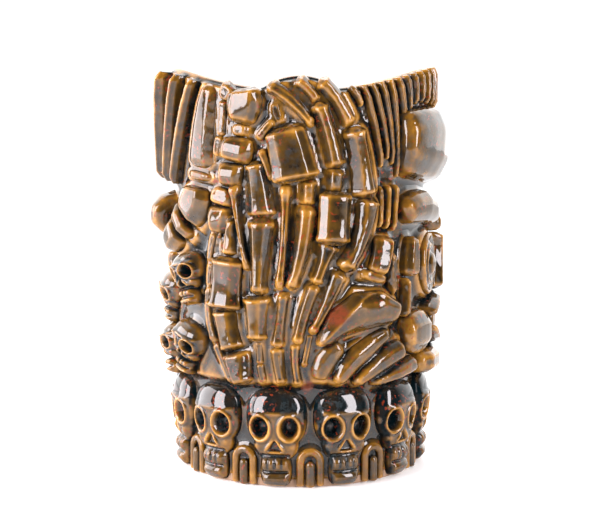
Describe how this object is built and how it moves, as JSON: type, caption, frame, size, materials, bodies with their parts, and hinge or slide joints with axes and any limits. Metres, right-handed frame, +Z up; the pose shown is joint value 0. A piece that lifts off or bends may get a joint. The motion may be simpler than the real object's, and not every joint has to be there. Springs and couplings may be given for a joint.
{
  "type": "tiki mug",
  "caption": "Tall stoneware tiki mug with a wavy rim, a carved face, hands of jointed bones in relief and a ring of skulls round the foot.",
  "frame": {"origin": "centre of the foot, on the surface it stands on", "axes": "+Z up, +X towards the carved face, -Y the flank that shows the bone hand"},
  "size_m": [0.1192, 0.115, 0.1555],
  "materials": {
    "dark_glaze": "gloss reactive glaze, dark brown to teal-black where it pools",
    "amber_glaze": "gloss reactive glaze, amber on edges, olive and dark teal in hollows",
    "bare_clay": "matt, unglazed foot"
  },
  "bodies": {
    "root": {"vessel_wall": "dark_glaze", "rim_crests": "dark_glaze", "vessel_floor": "dark_glaze", "foot_ring": "bare_clay", "arch_ribs": "amber_glaze", "drop_pegs": "amber_glaze", "skull_01": "amber_glaze", "skull_02": "amber_glaze", "skull_03": "amber_glaze", "skull_04": "amber_glaze", "skull_05": "amber_glaze", "skull_06": "amber_glaze", "skull_07": "amber_glaze", "skull_08": "amber_glaze", "skull_09": "amber_glaze", "skull_10": "amber_glaze", "skull_11": "amber_glaze", "skull_12": "amber_glaze", "near_finger_1_bones": "amber_glaze", "near_finger_2_bones": "amber_glaze", "near_finger_3_bones": "amber_glaze", "near_finger_3_knuckle": "amber_glaze", "near_finger_4_bones": "amber_glaze", "near_finger_4_knuckle": "amber_glaze", "near_finger_5_bones": "amber_glaze", "near_thumb_knuckle": "amber_glaze", "near_slender_bones": "amber_glaze", "near_wrist_chain": "amber_glaze", "near_forearm": "amber_glaze", "near_cane": "amber_glaze", "near_leaf": "amber_glaze", "near_fan_strands": "amber_glaze", "near_hair_locks": "amber_glaze", "far_finger_1_bones": "amber_glaze", "far_finger_2_bones": "amber_glaze", "far_finger_3_bones": "amber_glaze", "far_finger_3_knuckle": "amber_glaze", "far_finger_4_bones": "amber_glaze", "far_finger_4_knuckle": "amber_glaze", "far_finger_5_bones": "amber_glaze", "far_thumb_knuckle": "amber_glaze", "far_slender_bones": "amber_glaze", "far_wrist_chain": "amber_glaze", "far_forearm": "amber_glaze", "far_cane": "amber_glaze", "far_leaf": "amber_glaze", "far_fan_strands": "amber_glaze", "far_hair_locks": "amber_glaze", "forehead_rolls": "amber_glaze", "brow_ridges": "amber_glaze", "near_eye_disc": "amber_glaze", "far_eye_disc": "amber_glaze", "nose": "amber_glaze", "mouth_lips": "amber_glaze", "teeth": "amber_glaze", "jaw": "amber_glaze", "knee_roll": "amber_glaze", "back_straps": "amber_glaze", "trophy_skulls": "amber_glaze", "spine": "amber_glaze"}
  },
  "joints": []
}
